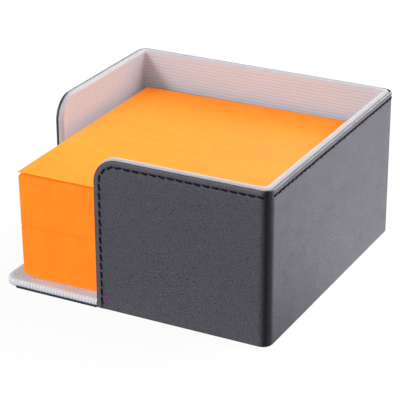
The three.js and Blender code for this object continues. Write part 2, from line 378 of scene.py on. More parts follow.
def grained_leather(colours, grain_width):
    """Cowhide, tanned, pigmented charcoal and pressed with a fine pebble grain.

    The pigment coat gives a soft, wide gleam. The grain breaks it into specks, and the hide shows
    faint cloudy changes of tone. A painted highlight lightens the band along the turned edges, and painted
    shade darkens the roll, the seam's trough and the turned corners.
    """
    material, add, place = new_material("pebbled_cowhide")
    dark, light = colours.leather, colours.leather_cloud_and_highlight
    # A pebble is about half as wide again as it is high, and the grain width lies between the two.
    place = add("VectorMath", {"operation": "MULTIPLY", 0: place, 1: [0.75, 0.75, 1.1]})
    warp = add("TexNoise", {"Scale": 0.6 / grain_width, "Detail": 2.0, "Vector": place}, "Color")
    moved = add("VectorMath", {"operation": "MULTIPLY_ADD", 0: warp, 1: [grain_width] * 3, 2: place})
    pebbles = add("TexVoronoi", {
        "feature": "DISTANCE_TO_EDGE", "Scale": 1 / grain_width, "Vector": moved}, "Distance")
    crowns = add("MapRange", {"interpolation_type": "SMOOTHSTEP", "From Max": 0.22, "Value": pebbles})
    # Pores are about 0.06 mm across. They are drawn about three times as wide so that they show at all.
    pores = add("TexNoise", {"Scale": 1 / (0.18 * MM), "Detail": 3.0, "Roughness": 0.6, "Vector": place})
    # Creases run for a few millimetres, and the hide's tone drifts over two centimetres.
    creases = add("TexNoise", {"Scale": 1 / (5 * MM), "Detail": 6.0, "Roughness": 0.62, "Vector": place})
    clouds = add("TexNoise", {"Scale": 1 / (22 * MM), "Detail": 3.0, "Vector": place})
    stretched, burnished, stained, creased = (
        add("Attribute", {"attribute_name": mark}, "Fac")
        for mark in ("stretched", "burnished", "stained", "creased"))
    cloudy = add("MapRange", {
        "From Min": 0.35, "From Max": 0.68, "To Min": 0.0, "To Max": 0.17, "Value": clouds})
    tone = blend(add, cloudy, dark, light)
    tone = blend(add, crowns, darker(dark, 0.3), tone)
    # Painted highlight along the edges, then painted shade on the roll, in the seam's trough and on the
    # turned corners.
    for mark, marked in ((stretched, light), (stained, darker(dark, 0.2)), (creased, darker(dark, 0.17))):
        tone = blend(add, mark, tone, marked)
    height = add("Math", {"operation": "MULTIPLY_ADD", 0: pores, 1: 0.35, 2: crowns})
    height = add("Math", {"operation": "MULTIPLY_ADD", 0: creases, 1: 0.5, 2: height})
    # Burnishing presses the grain flat and makes it glossier.
    relief = add("MapRange", {"To Min": 1.0, "To Max": 0.25, "Value": burnished})
    bump = add("Bump", {"Distance": 0.078 * MM, "Height": height, "Strength": relief})
    gleam = add("MapRange", {
        "From Min": 0.3, "From Max": 0.7, "To Min": 0.525, "To Max": 0.6, "Value": creases})
    gloss = add("MapRange", {"To Min": 1.0, "To Max": 0.8, "Value": burnished})
    gleam = add("Math", {"operation": "MULTIPLY", 0: gleam, 1: gloss})
    # Where shade is painted, the gleam is dulled as well.
    dull = add("Math", {"operation": "MAXIMUM", 0: creased, 1: stained})
    mirroring = add("MapRange", {"To Min": 0.75, "To Max": 0.1, "Value": dull})
    surface = add("BsdfPrincipled", {
        "IOR": 1.5, "Base Color": tone, "Roughness": gleam, "Normal": bump, "Specular IOR Level": mirroring})
    add("OutputMaterial", {"Surface": surface})
    return material


def ribbed_cloth(colours, thread_width):
    """Cotton rep: thick cords under a close weave of fine thread, matt, with a faint bloom of fibres.

    The cords are modelled. Here painted shade darkens the hollows between them, and the fine threads that
    cross them show as a slight unevenness.
    """
    material, add, place = new_material("cotton_rep")
    crown, hollow = colours.cloth, colours.cloth_hollow_shade
    cord, soiled = (add("Attribute", {"attribute_name": mark}, "Fac") for mark in ("cord", "soiled"))
    # Warp threads are about 0.15 mm apart. They are drawn at twice that so that they show at all.
    weave = add("TexVoronoi", {
        "Scale": 1 / (2 * thread_width), "Randomness": 0.7, "Vector": place}, "Distance")
    # Tufts of fibre are half a millimetre wide, and the cloth's tone drifts over a centimetre or two.
    fibres = add("TexNoise", {"Scale": 1 / (0.5 * MM), "Detail": 4.0, "Vector": place})
    soft = add("TexNoise", {"Scale": 1 / (14 * MM), "Detail": 2.0, "Vector": place})
    shade = add("MapRange", {
        "From Min": 0.3, "From Max": 0.7, "To Min": 0.0, "To Max": 0.9, "Value": fibres})
    tone = blend(add, shade, crown, darker(crown, 0.9))
    tone = blend(add, soft, tone, crown)
    # Painted shade: the hollows between the cords are drawn in a darker colour, and on the walls the whole
    # cloth and its rim as well.
    tone = blend(add, cord, hollow, tone)
    # Painted shade in the groove where the cloth meets the leather.
    tone = blend(add, soiled, tone, darker(hollow, 0.15))
    height = add("Math", {"operation": "MULTIPLY_ADD", 0: fibres, 1: 0.6, 2: weave})
    bump = add("Bump", {"Strength": 0.4, "Distance": 0.04 * MM, "Height": height})
    surface = add("BsdfPrincipled", {
        "Roughness": 0.92, "Sheen Weight": 0.08, "Sheen Roughness": 0.5, "Specular IOR Level": 0.2,
        "Base Color": tone, "Normal": bump})
    add("OutputMaterial", {"Surface": surface})
    return material


def waxed_thread(colours):
    """Bonded polyester sewing thread, three plies twisted together and waxed: black, with a dull shine."""
    material, add, place = new_material("waxed_three_ply_thread")
    # Loose filaments stand off the plies, about 0.08 mm apart.
    fuzz = add("TexNoise", {"Scale": 1 / (0.08 * MM), "Detail": 3.0, "Vector": place})
    tone = blend(add, fuzz, darker(colours.thread, 0.5), colours.thread)
    bump = add("Bump", {"Strength": 0.3, "Distance": 0.02 * MM, "Height": fuzz})
    surface = add("BsdfPrincipled", {
        "Roughness": 0.7, "Specular IOR Level": 0.06, "Base Color": tone, "Normal": bump})
    add("OutputMaterial", {"Surface": surface})
    return material


def greyboard(colours):
    """Bookbinder's greyboard, pressed from waste paper: dull grey-brown, with lighter and darker flecks."""
    material, add, place = new_material("pressed_greyboard")
    # Flecks of pulp are a little over half a millimetre wide.
    flecks = add("TexNoise", {"Scale": 1 / (0.6 * MM), "Detail": 5.0, "Roughness": 0.7, "Vector": place})
    spread = add("MapRange", {"From Min": 0.35, "From Max": 0.65, "Value": flecks})
    tone = blend(add, spread, darker(colours.greyboard, 0.7), colours.greyboard)
    bump = add("Bump", {"Strength": 0.4, "Distance": 0.05 * MM, "Height": flecks})
    surface = add("BsdfPrincipled", {"Roughness": 0.95, "Base Color": tone, "Normal": bump})
    add("OutputMaterial", {"Surface": surface})
    return material


def dyed_paper(colours, layer_height):
    """Uncoated note paper, dyed bright orange in the pulp: matt, with a faint cloud of fibres.

    On the cut sides of a pad the sheets' edges show as fine level lines.
    """
    material, add, place = new_material("dyed_note_paper")
    # Sheets are 0.1 mm thick. The lines are drawn at the height of a few sheets so that they show,
    # and each changes its tone every 70 mm or so along the edge.
    changes_along = 14.0
    stretched = add("VectorMath", {
        "operation": "MULTIPLY", 0: place, 1: [changes_along, changes_along, 0.5 / layer_height]})
    layers = add("TexNoise", {"Scale": 1.0, "Detail": 4.0, "Roughness": 0.7, "Vector": stretched})
    # Bundles of fibre are about a millimetre long, and the pulp clouds over a few millimetres.
    fibres = add("TexNoise", {"Scale": 1 / (0.9 * MM), "Detail": 5.0, "Roughness": 0.65, "Vector": place})
    clouds = add("TexNoise", {"Scale": 1 / (4 * MM), "Detail": 4.0, "Vector": place})
    lines = add("MapRange", {
        "From Min": 0.3, "From Max": 0.7, "To Min": 0.0, "To Max": 0.55, "Value": layers})
    cloudy = add("MapRange", {
        "From Min": 0.35, "From Max": 0.65, "To Min": 0.0, "To Max": 0.5, "Value": clouds})
    tone = colours.paper
    for pattern in (lines, cloudy):
        tone = blend(add, pattern, tone, colours.paper_edge)
    height = add("Math", {"operation": "MULTIPLY_ADD", 0: fibres, 1: 0.7, 2: layers})
    bump = add("Bump", {"Strength": 0.25, "Distance": 0.04 * MM, "Height": height})
    surface = add("BsdfPrincipled", {
        "Roughness": 0.62, "Specular IOR Level": 0.32, "Base Color": tone, "Normal": bump})
    add("OutputMaterial", {"Surface": surface})
    return material


def white_sweep(gleam):
    """Painted studio floor. The camera sees it near white, and the holder's shadow stays on it.

    Reflections see it bright behind the holder and dim on the camera's side.
    """
    material, add, place = new_material("white_studio_paint")
    camera_ray, glossy_ray = (add("LightPath", {}, ray) for ray in ("Is Camera Ray", "Is Glossy Ray"))
    # The roller leaves a stipple of about 2.5 mm.
    speckle = add("TexNoise", {"Scale": 1 / (2.5 * MM), "Detail": 2.0, "Vector": place})
    tone = blend(add, speckle, linear("#808080"), linear("#868686"))
    tone = blend(add, camera_ray, tone, linear("#E4E4E4"))
    paint = add("BsdfPrincipled", {"Roughness": 0.9, "Base Color": tone})
    glow = add("Emission", {"Color": [1, 1, 1, 1], "Strength": 1.0})
    share = add("Math", {"operation": "MULTIPLY", 0: camera_ray, 1: 0.92})
    seen = add("MixShader", {0: share, 1: paint, 2: glow})
    behind = add("SeparateXYZ", {"Vector": place}, "Y")
    gleaming = add("MapRange", {
        "From Min": -70 * MM, "From Max": 20 * MM, "To Max": gleam, "Value": behind})
    sheet = add("Emission", {"Color": linear("#FDF9FF"), "Strength": gleaming})
    mirrored = add("MixShader", {0: glossy_ray, 1: seen, 2: sheet})
    add("OutputMaterial", {"Surface": mirrored})
    return material


# Pieces


def add_piece(name, points, faces, material, body, replaced, marks=None, sharp=40):
    """Makes a piece that rides on a body and stands for the CAD nodes that it replaces.

    Marks are numbers that a material reads, one for each point. Sharp is the angle in degrees from
    which an edge isn't shaded smooth.
    """
    mesh = bpy.data.meshes.new(name)
    mesh.from_pydata(points.tolist(), [], faces)
    for label, values in (marks or {}).items():
        layer = mesh.attributes.new(label, "FLOAT", "POINT")
        layer.data.foreach_set("value", np.asarray(values, float))
    mesh.materials.append(material)
    mesh.shade_smooth()
    mesh.set_sharp_from_angle(angle=math.radians(sharp))
    mesh.update()
    piece = bpy.data.objects.new(name, mesh)
    bpy.context.scene.collection.objects.link(piece)
    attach(piece, body)
    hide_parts(*replaced)


def grid_faces(grid):
    """Faces between the neighbours of a grid of points."""
    return np.stack([grid[:-1, :-1], grid[1:, :-1], grid[1:, 1:], grid[:-1, 1:]], axis=2).reshape(-1, 4)


def ring_faces(outer, inner):
    """Faces from a closed ring of points to the next."""
    return np.column_stack([outer, np.roll(outer, -1), np.roll(inner, -1), inner]).tolist()


def stack_faces(rings, size, first=0):
    """Faces of a closed body made of rings of points, from each to the next, with its two ends."""
    numbers = first + np.arange(rings * size).reshape(rings, size)
    faces = []
    for outer, inner in zip(numbers, numbers[1:]):
        faces += ring_faces(outer, inner)
    return faces + [numbers[0][::-1].tolist(), numbers[-1].tolist()]


def square_to(outline):
    """Steps of length 1 to the left of a closed outline, square to it."""
    tangent = np.roll(outline, -1, axis=0) - np.roll(outline, 1, axis=0)
    tangent /= np.maximum(np.linalg.norm(tangent, axis=1), tiny)[:, None]
    return np.column_stack([-tangent[:, 1], tangent[:, 0]])


def outer_roll(distance, radius):
    """How far the face has sunk at a distance from an edge that is rolled over."""
    near = np.clip(distance, 0, radius)
    return radius - np.sqrt(np.maximum(radius ** 2 - (radius - near) ** 2, 0))


def stitch_ends(sizes):
    """Where each stitch starts and ends along the seam. It stops at each fold and starts again after it."""
    end_margin = 1.4 * MM
    stops = [end_margin]
    for start in fold_starts:
        stops += [seam_travel(start + share * fold_length) for share in (0.32, 0.86)]
    stops.append(seam_length() - end_margin)
    starts, ends = [], []
    for low, high in zip(stops[::2], stops[1::2]):
        places = stations(low, high, sizes.stitch_pitch)
        starts += [place + sizes.stitch_gap / 2 for place in places[:-1]]
        ends += [place - sizes.stitch_gap / 2 for place in places[1:]]
    return np.array(starts), np.array(ends)


class HOLDER_OT_leather_cover(bpy.types.Operator):
    """Builds the outer leather: rolled edges, a sunk seam line with needle holes, and a padded rim"""
    bl_idname = "holder.leather_cover"
    bl_label = "Leather cover"

    def execute(self, context):
        sizes = context.scene.holder_sizes
        roll, seam = sizes.edge_roll, sizes.seam_inset
        sheet = self.flat_sheet(sizes)
        along, height, inset = sheet.along, sheet.height, sheet.inset
        to_edge = np.minimum(inset, height)
        # The seam pulls the face down along its line, and deepest at the needle holes.
        starts, ends = stitch_ends(sizes)
        to_hole = self.way_to_hole(sheet.travel, starts, ends)
        to_thread = self.way_to_thread(sheet.travel, starts, ends)
        sewn = (1 - smooth_step(0.5 * MM, 1.4 * MM, to_thread)) * (sheet.travel >= 0)
        across = (inset - seam) / MM
        trough = dent(across, depth=0.15, width=0.5) + dent(across, depth=0.06, width=0.9)
        shallower_between = 0.65
        trough *= 1 - shallower_between * smooth_step(0.1 * MM, 0.5 * MM, to_thread)
        pit = dent(across, depth=0.12, width=0.3) * dent(to_hole, depth=1, width=0.24 * MM)
        pull = dent(across, depth=0.05, width=0.8) * dent(to_hole, depth=1, width=0.7 * MM)
        sunk = outer_roll(to_edge, roll)
        sunk = sunk + sewn * (trough + pit + pull) * MM * smooth_step(0, 0.5 * MM, to_edge)
        # The rim is padded, and the field inside the seam lies lower and isn't quite flat.
        field_drop, wave_height = 0.05 * MM, 0.006 * MM
        sunk += field_drop * smooth_step(seam, seam + 1.6 * MM, inset)
        wander = (np.sin(along / (17 * MM) + 1.3) * np.sin(height / (13 * MM) + 0.4)
                  + 0.6 * np.sin(along / (7.3 * MM) + height / (11 * MM)))
        sunk += wave_height * (wander + 1.6) * smooth_step(seam, seam + 3 * MM, inset)
        # Bottom corners of the two free ends are cut round.
        foot_radius = 0.7 * MM
        along, height = rounded_corner(along, height, foot_radius)
        from_end, height = rounded_corner(strip_length - along, height, foot_radius)
        along = strip_length - from_end
        flat, faces = self.turned_edges(sheet, along, height, sunk, roll)
        stretched, burnished, creased = np.zeros(len(flat)), np.ones(len(flat)), np.zeros(len(flat))
        # Painted highlight: the band between the seam and the rolled edge is drawn lighter.
        stretched[:len(inset)] = (0.5 * (1 - smooth_step(seam - 0.5 * MM, seam + 0.2 * MM, inset))
                                  * smooth_step(0.4 * roll, 1.8 * roll, inset))
        burnished[:len(inset)] = 1 - smooth_step(0.6 * roll, 1.8 * roll, to_edge)
        # Painted shade darkens each turned corner and dulls its gleam, darkest just before its middle.
        for start in fold_starts:
            turned = (flat[:, 0] - start) / fold_length
            dark = smooth_step(-0.06, 0.4, turned) * (1 - 0.25 * smooth_step(0.45, 0.6, turned))
            creased = np.maximum(creased, dark * (1 - smooth_step(0.65, 1.0, turned)))
        # Edge paint and painted shade darken the roll, and painted shade darkens the trough beside each
        # stitch.
        roll_paint_and_shade, painted_trough_shade = 0.35, 0.8
        stained = np.full(len(flat), roll_paint_and_shade)
        stained[:len(inset)] = roll_paint_and_shade * (1 - smooth_step(0.3 * roll, 1.3 * roll, to_edge))
        by_thread = np.exp(-(across / 0.4) ** 4) * (1 - 0.7 * smooth_step(0, 0.2 * MM, to_thread))
        stained[:len(inset)] += sewn * painted_trough_shade * by_thread
        points = folded(flat[:, 0], flat[:, 1], flat[:, 2])
        add_piece("sewn_leather_cover", points, faces, finishes()["leather"], "holder",
                  ["leather_wrap"], {"stretched": stretched, "burnished": burnished, "stained": stained,
                                     "creased": creased})
        return {"FINISHED"}

    def flat_sheet(self, sizes):
        """The strip before it is folded, with rings close together at the roll and at the seam."""
        insets = [sizes.edge_roll * (1 - math.cos(turn)) for turn in np.linspace(0, math.pi / 2, 8)]
        insets += [inset * MM for inset in (0.75, 1.05, 1.35, 1.64)]
        insets += [sizes.seam_inset + offset * MM
                   for offset in (-0.38, -0.28, -0.19, -0.1, 0, 0.1, 0.19, 0.28, 0.38, 0.5)]
        insets += [inset * MM for inset in (2.95, 3.3, 3.8, 4.4, 5.0)]
        step = sizes.stitch_pitch / 4
        sides = [height * MM for height in (0, 0.03, 0.1, 0.22, 0.4)]
        sides += stations(step, free_end_height - step, step)
        inner_radius = free_corner_radius - insets[-1]
        turns = np.linspace(0, math.pi / 2, 13)[1:]
        levels = [free_end_height + inner_radius * math.sin(turn) for turn in turns]
        tops = stations(free_corner_radius, strip_length - free_corner_radius, step)[1:-1]
        return StripSheet(insets, sides, levels, tops, (4, [4] * len(levels), 4))

    def way_to_hole(self, travel, starts, ends):
        """How far each point is from the nearest needle hole, along the seam."""
        holes = np.sort(np.concatenate([starts, ends]))
        following = np.clip(np.searchsorted(holes, travel), 1, len(holes) - 1)
        return np.minimum(np.abs(holes[following] - travel), np.abs(holes[following - 1] - travel))

    def way_to_thread(self, travel, starts, ends):
        """How far each point is from the nearest stitch, along the seam: 0 beside a stitch."""
        stitch = np.clip(np.searchsorted(ends, travel), 1, len(ends) - 1)
        return np.minimum(np.maximum(starts[stitch] - travel, 0), np.maximum(travel - ends[stitch - 1], 0))

    def turned_edges(self, sheet, along, height, sunk, roll):
        """Adds the leather's rolled back edge and a flap behind it, and gives flat points and faces."""
        border = sheet.border()
        rim = np.column_stack([along[border], height[border]])
        inward = -square_to(rim)
        flat = [np.column_stack([along, height, sunk])]
        for turn in (math.pi / 6, math.pi / 3, math.pi / 2):
            moved = rim + inward * roll * (1 - math.cos(turn))
            flat.append(np.column_stack([moved, np.full(len(rim), roll * (1 + math.sin(turn)))]))
        flap_width = 1.1
        moved = rim + inward * flap_width * MM
        flat.append(np.column_stack([moved, np.full(len(rim), 2 * roll)]))
        faces = list(sheet.faces)
        outer = np.array(border)
        for ring in range(len(flat) - 1):
            inner = len(along) + ring * len(rim) + np.arange(len(rim))
            faces += ring_faces(outer, inner)
            outer = inner
        return np.concatenate(flat), faces


class HOLDER_OT_seam_stitches(bpy.types.Operator):
    """Sews the seam: separate slanted stitches of twisted thread, each sunk into its needle holes"""
    bl_idname = "holder.seam_stitches"
    bl_label = "Seam stitches"

    def execute(self, context):
        sizes = context.scene.holder_sizes
        starts, ends = stitch_ends(sizes)
        steps, sides = 18, 12
        radius = sizes.thread_width / 2
        # Three plies make a full turn in 1.5 mm, and the thread is pressed a little flat.
        plies, ply_turn, ply_depth, flatness = 3, 1.5 * MM, 0.13, 0.95
        # A stitch lies in the seam's trough. Over the outer part of each half it dives into its needle
        # hole and gets thinner.
        trough, sag, dive, thinning, wobble = 0.25 * MM, 0.06 * MM, 0.6 * MM, 0.25, 0.15
        share = np.linspace(-1, 1, steps + 1)
        bow = np.clip((np.abs(share) - 0.55) / 0.45, 0, 1) ** 2
        sunk = trough - 0.5 * radius + sag * share ** 2 + dive * bow
        points, faces = [], []
        turn = np.arange(sides) / sides * 2 * math.pi
        chance = np.random.default_rng(7)
        for begin, end in zip(starts, ends):
            travel = begin + (end - begin) * (share + 1) / 2
            # From the free corner to the first fold the stitches lean the other way, and half as far.
            lean = -0.5 if seam_travel(free_corner_radius) < begin < seam_travel(fold_starts[0]) else 1.0
            slant = sizes.stitch_slant * (lean * share + wobble * chance.standard_normal())
            place_x, place_y = seam_guide(travel, sizes.seam_inset - slant)
            line = np.column_stack([place_x, place_y, sunk])
            forward = np.gradient(line, axis=0)
            forward /= np.linalg.norm(forward, axis=1)[:, None]
            out = np.array([0, 0, -1.0])
            side = np.cross(forward, out)
            side /= np.linalg.norm(side, axis=1)[:, None]
            up = np.cross(side, forward)
            twist = travel / ply_turn * 2 * math.pi
            lobes = 1 + ply_depth * np.cos(plies * (turn[None, :] - twist[:, None]))
            girth = radius * lobes * (1 - thinning * bow)[:, None]
            ring = (line[:, None, :] + side[:, None, :] * (girth * np.cos(turn))[:, :, None]
                    + up[:, None, :] * (flatness * girth * np.sin(turn))[:, :, None])
            faces += stack_faces(steps + 1, sides, len(points) * (steps + 1) * sides)
            points.append(ring.reshape(-1, 3))
        flat = np.concatenate(points)
        add_piece("seam_stitches", folded(flat[:, 0], flat[:, 1], flat[:, 2]), faces, finishes()["thread"],
                  "holder", ["seam_thread"], sharp=80)
        return {"FINISHED"}


def cord_profile(place, pitch):
    """Height of the cloth's cords, from 0 in the hollows to 1 on the crowns."""
    return np.abs(np.sin(math.pi * place / pitch)) ** 0.75


class HOLDER_OT_wall_lining(bpy.types.Operator):
    """Builds the cloth inside the walls: level cords, rolled over the rim and round the free ends"""
    bl_idname = "holder.wall_lining"
    bl_label = "Wall lining"

    def execute(self, context):
        sizes = context.scene.holder_sizes
        rise = sizes.rim_rise
        outer_side, inner_side = board_depth + 0.08 * MM, wall_thickness
        row = sizes.cord_pitch / 6
        turns = np.linspace(0, math.pi / 2, 8)
        # Insets and depths of the cloth's section: up the boards' outer side, over the rim, and down.
        glued_height, slope_height, slope_width, inner_roll = 1.6 * MM, 1.05 * MM, 1.12 * MM, 0.9 * MM
        section = [(glued_height, outer_side)]
        section += [(slope_height * (1 - math.sin(turn)) - rise,
                     outer_side + slope_width * (1 - math.cos(turn))) for turn in turns]
        section += [(inner_roll * (1 - math.cos(turn)) - rise,
                     inner_side - inner_roll * (1 - math.sin(turn))) for turn in turns]
        rolled = len(section)
        band_end = 2.9 * MM
        section += [(inset, inner_side) for inset in band_end - row * np.arange(12)[::-1]
                    if inset > inner_roll - rise + 0.1 * MM]
        insets, depths = (np.array(column) for column in zip(*section))
        sides = [wall_foot] + [row * count for count in range(1, int(round(free_end_height / row)))
                               if row * count > wall_foot]
        inner_radius = free_corner_radius - insets[-1]
        count = int(round(inner_radius / row))
        shares = [step / count for step in range(1, count + 1)]
        levels = [free_end_height + inner_radius * step / count for step in range(1, count + 1)]
        splits = [max(1, int(round(turn * free_corner_radius / (0.25 * MM))))
                  for turn in np.diff([0, *np.arcsin(shares)])]
        tops = sorted({round(place, 6) for place in self.top_places()})
        sheet = StripSheet(insets, sides, levels, tops, (1, splits, 1))

        def by_ring(values, elsewhere):
            """One number for each ring of the band, and another for the field inside it."""
            spread = np.full(len(sheet.along), float(elsewhere))
            spread[:sheet.band_count] = np.tile(values, len(sheet.guides))
            return spread

        rings = np.arange(sheet.rings)
        cord = cord_profile(sheet.height, sizes.cord_pitch)
        on_face = by_ring(smooth_step(0.7 * MM, 2.1 * MM, insets) * (rings >= rolled), 1)
        # Painted shade dims the walls' cloth, and the rim most of all.
        rim_tone, face_tone = 0.03, 0.45
        plain = by_ring(np.interp(rings, [9, 16], [rim_tone, face_tone]), face_tone)
        painted_wall_shade = on_face * (0.15 + 0.38 * cord) + (1 - on_face) * plain
        crowned = 1 - on_face * (1 - cord)
        deep = by_ring(depths, inner_side) - sizes.wall_cord_height * (1 - crowned)
        # Painted shade darkens the cloth in the groove against the leather.
        soiled = by_ring([0.9, 0.9, 0.6, 0.1] + [0] * (sheet.rings - 4), 0)
        # The cloth bridges the inner corners at the rim, where nothing presses it in. In the two back
        # corners it does so all the way down.
        bridging = 1 * MM * smooth_step(rim_height - 7 * MM, rim_height - 1 * MM, sheet.height)
        at_back = sheet.along > (fold_starts[0] + fold_starts[1]) / 2
        bridging = np.where(at_back, np.maximum(bridging, 0.9 * MM), bridging)
        points = folded(sheet.along, sheet.height, deep, tightest_fold_radius + bridging)
        faces = [face[::-1] for face in sheet.faces]
        add_piece("ribbed_wall_lining", points, faces, finishes()["cloth"], "holder",
                  ["wall_lining"], {"cord": painted_wall_shade, "soiled": soiled}, sharp=80)
        return {"FINISHED"}

    def top_places(self):
        """Places of the columns along the rim, which stand closer together in the folds."""
        places = []
        begin = free_corner_radius
        for start in fold_starts:
            places += stations(begin, start, 4 * MM)
            places += stations(start, start + fold_length, 0.45 * MM)
            begin = start + fold_length
        places += stations(begin, strip_length - free_corner_radius, 4 * MM)
        low, high = free_corner_radius + near_enough, strip_length - free_corner_radius - near_enough
        return [place for place in places if low < place < high]


class HOLDER_OT_base_lining(bpy.types.Operator):
    """Builds the cloth on the base: cords from front to back, folded over the free edges"""
    bl_idname = "holder.base_lining"
    bl_label = "Base lining"

    def execute(self, context):
        sizes = context.scene.holder_sizes
        low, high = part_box("base_lining")
        roll, foot_roll, corner_radius, gap = 1.25 * MM, 0.8 * MM, 5 * MM, 0.1 * MM
        # On the left the fold is a little fuller than in the CAD.
        fullness = 0.4 * MM
        low.x -= fullness
        step = sizes.cord_pitch / 6
        tray = cover_high.x - wall_thickness - gap
        cut_x, cut_y = front_wall_end - gap, left_wall_end - gap
        start_x, start_y = low.x + roll, low.y + roll
        columns = start_x + step * np.arange(int((tray - start_x) / step) + 1)
        columns = self.joined(columns, [cut_x, -tray, tray])
        rows = self.joined(stations(start_y, start_y + 6 * MM, 0.4 * MM),
                           stations(start_y + 6 * MM, cut_y, 3 * MM), stations(cut_y, tray, 6 * MM), [-tray])
        # The flat of the cloth fills the tray and reaches out under the cut-away, but not under the walls.
        ids = -np.ones((len(columns), len(rows)), int)
        faces, points = [], []
        mid_x, mid_y = (columns[:-1] + columns[1:]) / 2, (rows[:-1] + rows[1:]) / 2
        kept = (((mid_x < cut_x)[:, None] & (mid_y < cut_y)[None, :])
                | ((mid_x > -tray)[:, None] & (mid_y > -tray)[None, :]))
        for column, row in np.argwhere(kept):
            corners = ((column, row), (column + 1, row), (column + 1, row + 1), (column, row + 1))
            for corner in corners:
                if ids[corner] < 0:
                    ids[corner] = len(points)
                    points.append((columns[corner[0]], rows[corner[1]]))
            faces.append([ids[corner] for corner in corners])
        flat = np.array(points)
        cord = cord_profile(flat[:, 0] - low.x, sizes.cord_pitch)
        near_x, near_y = rounded_corner(flat[:, 0] - start_x, flat[:, 1] - start_y, corner_radius - roll)
        flat = np.column_stack([near_x + start_x, near_y + start_y])
        all_points = [np.column_stack([flat, high.z - sizes.cord_height * (1 - cord)])]
        all_cord = [cord]
        # The edge of the sheet, from the front wall round the corner to the left wall, rolls down.
        front = ids[columns <= cut_x + near_enough, 0][::-1]
        side = ids[0, 1:][rows[1:] <= cut_y + near_enough]
        rim = np.concatenate([front, side])
        path = flat[rim]
        tangent = np.gradient(path, axis=0)
        tangent /= np.linalg.norm(tangent, axis=1)[:, None]
        outward = np.column_stack([-tangent[:, 1], tangent[:, 0]])
        outward *= np.sign(np.sum(outward * (path - path.mean(axis=0) + 1e-9), axis=1))[:, None]
        # Toward its two ends the edge is straight.
        outward[:len(front) // 2] = [0, -1]
        outward[-4:] = [-1, 0]
        # In front, right of the corner, the edge comes to rest on the leather under the base.
        on_leather = smooth_step(low.x + 4.2 * MM, low.x + 5.6 * MM, path[:, 0])
        on_leather *= path[:, 1] < start_y + 1 * MM
        foot = low.z + on_leather * (sizes.under_leather - 0.06 * MM)
        drop = high.z - roll - foot - foot_roll
        # Rings of the folded edge: how far out, how high, and how far along the cloth from the fold.
        rings = [(roll * math.sin(turn), high.z - roll * (1 - math.cos(turn)), roll * turn)
                 for turn in np.linspace(0, math.pi / 2, 7)[1:]]
        side_way = roll * math.pi / 2
        rings += [(roll, high.z - roll - drop * share, side_way + drop * share)
                  for share in (0.25, 0.5, 0.75, 1.0)]
        rings += [(roll - foot_roll * (1 - math.cos(turn)), foot + foot_roll * (1 - math.sin(turn)),
                   side_way + drop + foot_roll * turn) for turn in np.linspace(0, math.pi / 2, 6)[1:]]
        # The last ring is tucked in under the base.
        rings.append((-3 * MM, foot, side_way + drop + 4.5 * MM))
        outer = rim
        count = len(flat)
        for reach, z, way in rings:
            # The cords run over the front edge. The left edge follows them, so they show less there.
            bend = cord_profile(path[:, 0] - low.x + np.minimum(outward[:, 0], 0) * way, sizes.cord_pitch)
            bend = 1 - (1 - bend) * (1 + 0.7 * np.minimum(outward[:, 0], 0))
            # Hollows are sunk from the side, but for the first ring, which still lies on the top.
            shift = reach - sizes.cord_height * (1 - bend) * (0.9 if reach > 0.3 * roll else 0)
            ring = path + outward * shift[:, None]
            all_points.append(np.column_stack([ring, np.broadcast_to(z, len(path))]))
            all_cord.append(bend)
            inner = count + np.arange(len(rim))
            faces += np.column_stack([outer[:-1], inner[:-1], inner[1:], outer[1:]]).tolist()
            outer = inner
            count += len(rim)
        cord = np.concatenate(all_cord)
        add_piece("ribbed_base_lining", np.concatenate(all_points), faces, finishes()["cloth"], "holder",
                  ["base_lining"],
                  # Painted shade: the hollows between the cords are drawn a little darker.
                  {"cord": 0.25 + 0.75 * cord, "soiled": np.zeros(len(cord))}, sharp=80)
        return {"FINISHED"}

    def joined(self, *groups):
        """Places in order, each once."""
        return np.array(sorted({place for group in groups for place in np.round(group, 7)}))


